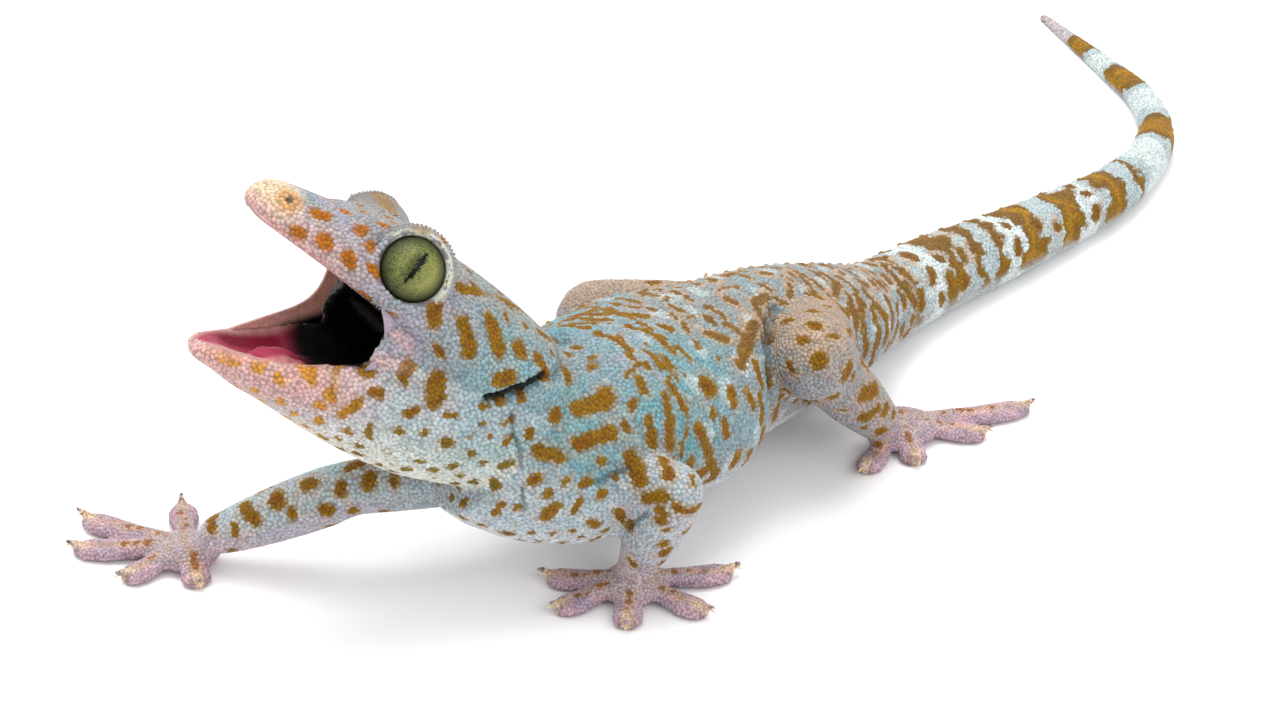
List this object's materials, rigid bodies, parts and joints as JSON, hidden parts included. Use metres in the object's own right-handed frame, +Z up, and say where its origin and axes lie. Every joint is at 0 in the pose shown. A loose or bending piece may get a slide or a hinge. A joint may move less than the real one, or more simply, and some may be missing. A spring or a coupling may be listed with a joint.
{
  "type": "tokay gecko",
  "caption": "Life-size still model of a tokay gecko standing on four feet, head raised and turned with open mouth, long tail laid on the floor.",
  "frame": {"origin": "middle of the model's box on the floor it stands on", "axes": "+Z up, the trunk points to -Y and the tail to +Y, +X is the gecko's left side"},
  "size_m": [0.0821, 0.2319, 0.0612],
  "materials": {
    "skin": "dry granular scales, blue-grey with ochre spots",
    "mouth": "moist pink to dark red flesh",
    "eye": "clear glossy eye over an olive iris",
    "claw": "satin horn"
  },
  "bodies": {
    "root": {"head": "skin", "lower_jaw": "skin", "neck": "skin", "torso": "skin", "tail_base": "skin", "tail_middle": "skin", "tail_tip": "skin", "upper_arm_left": "skin", "upper_arm_right": "skin", "forearm_left": "skin", "forearm_right": "skin", "hand_left": "skin", "hand_right": "skin", "thigh_left": "skin", "thigh_right": "skin", "shin_left": "skin", "shin_right": "skin", "foot_left": "skin", "foot_right": "skin", "tongue": "mouth", "eye_left": "eye", "eye_right": "eye"}
  },
  "joints": []
}
